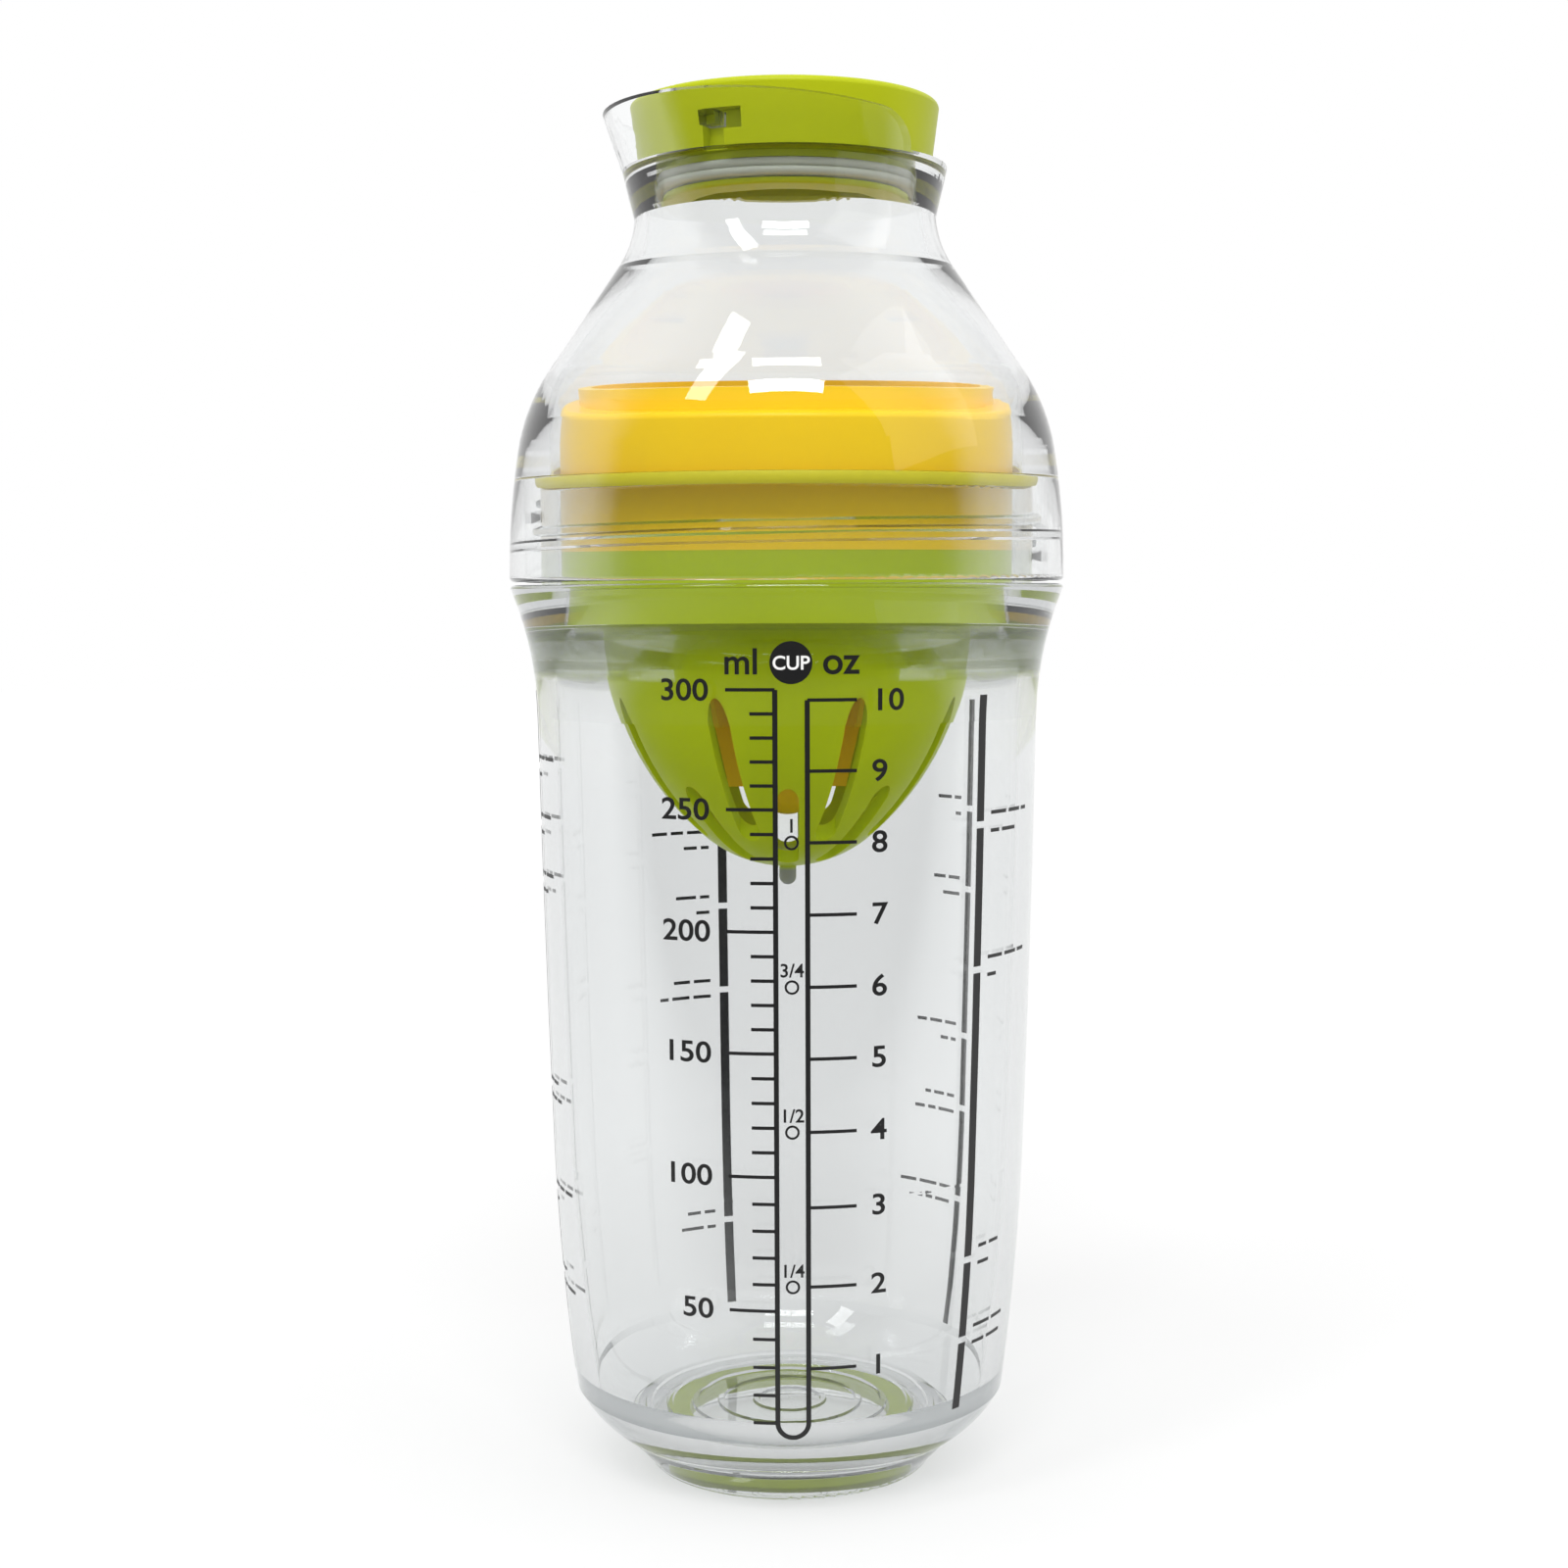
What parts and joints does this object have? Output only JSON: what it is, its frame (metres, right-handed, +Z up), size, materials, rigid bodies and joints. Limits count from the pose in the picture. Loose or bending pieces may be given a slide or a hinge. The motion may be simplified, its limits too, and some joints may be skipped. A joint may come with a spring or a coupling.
{
  "type": "salad dressing shaker bottle",
  "caption": "Clear shaker bottle for mixing and pouring salad dressing, with a plug lid, a screwed pouring top, a stored citrus reamer and a strainer bowl in its neck.",
  "frame": {"origin": "centre of the foot ring on the table", "axes": "+Z up along the bottle's axis, -Y towards the front with the scale, -X towards the spout's lip"},
  "size_m": [0.0767, 0.0766, 0.1895],
  "materials": {
    "clear_plastic": "clear",
    "lime_plastic": "satin",
    "lime_translucent_plastic": "gloss",
    "yellow_plastic": "gloss",
    "lime_rubber": "matte",
    "clear_rubber": "matte"
  },
  "bodies": {
    "container": {"container": "clear_plastic", "base_pad": "lime_rubber"},
    "strainer": {"strainer": "lime_translucent_plastic"},
    "reamer": {"reamer": "yellow_plastic"},
    "gasket": {"gasket": "lime_rubber"},
    "pour_top": {"pour_top": "clear_plastic"},
    "lid_seal": {"lid_seal": "clear_rubber"},
    "lid": {"lid": "lime_plastic"}
  },
  "joints": [
    {"name": "strainer_lift", "type": "slide", "parent": "container", "child": "strainer", "axis": [0, 0, 1], "range_m": [0, 0.002]},
    {"name": "reamer_lift", "type": "slide", "parent": "strainer", "child": "reamer", "axis": [0, 0, 1], "range_m": [0, 0.003]},
    {"name": "top_rise", "type": "slide", "parent": "container", "child": "gasket", "axis": [0, 0, 1], "range_m": [0, 0.0065]},
    {"name": "top_twist", "type": "hinge", "parent": "gasket", "child": "pour_top", "pos_m": [0, 0, 0.1387], "axis": [0, 0, 1], "range_deg": [0, 720]},
    {"name": "lid_pull", "type": "slide", "parent": "pour_top", "child": "lid_seal", "axis": [0, 0, 1], "range_m": [0, 0.012]},
    {"name": "lid_twist", "type": "hinge", "parent": "lid_seal", "child": "lid", "pos_m": [0, 0, 0.181], "axis": [0, 0, 1], "range_deg": [-6.5, 0]}
  ],
  "couplings": [
    {"joint": "top_rise", "follows": "top_twist", "m_per_rad": 0.0005093}
  ]
}
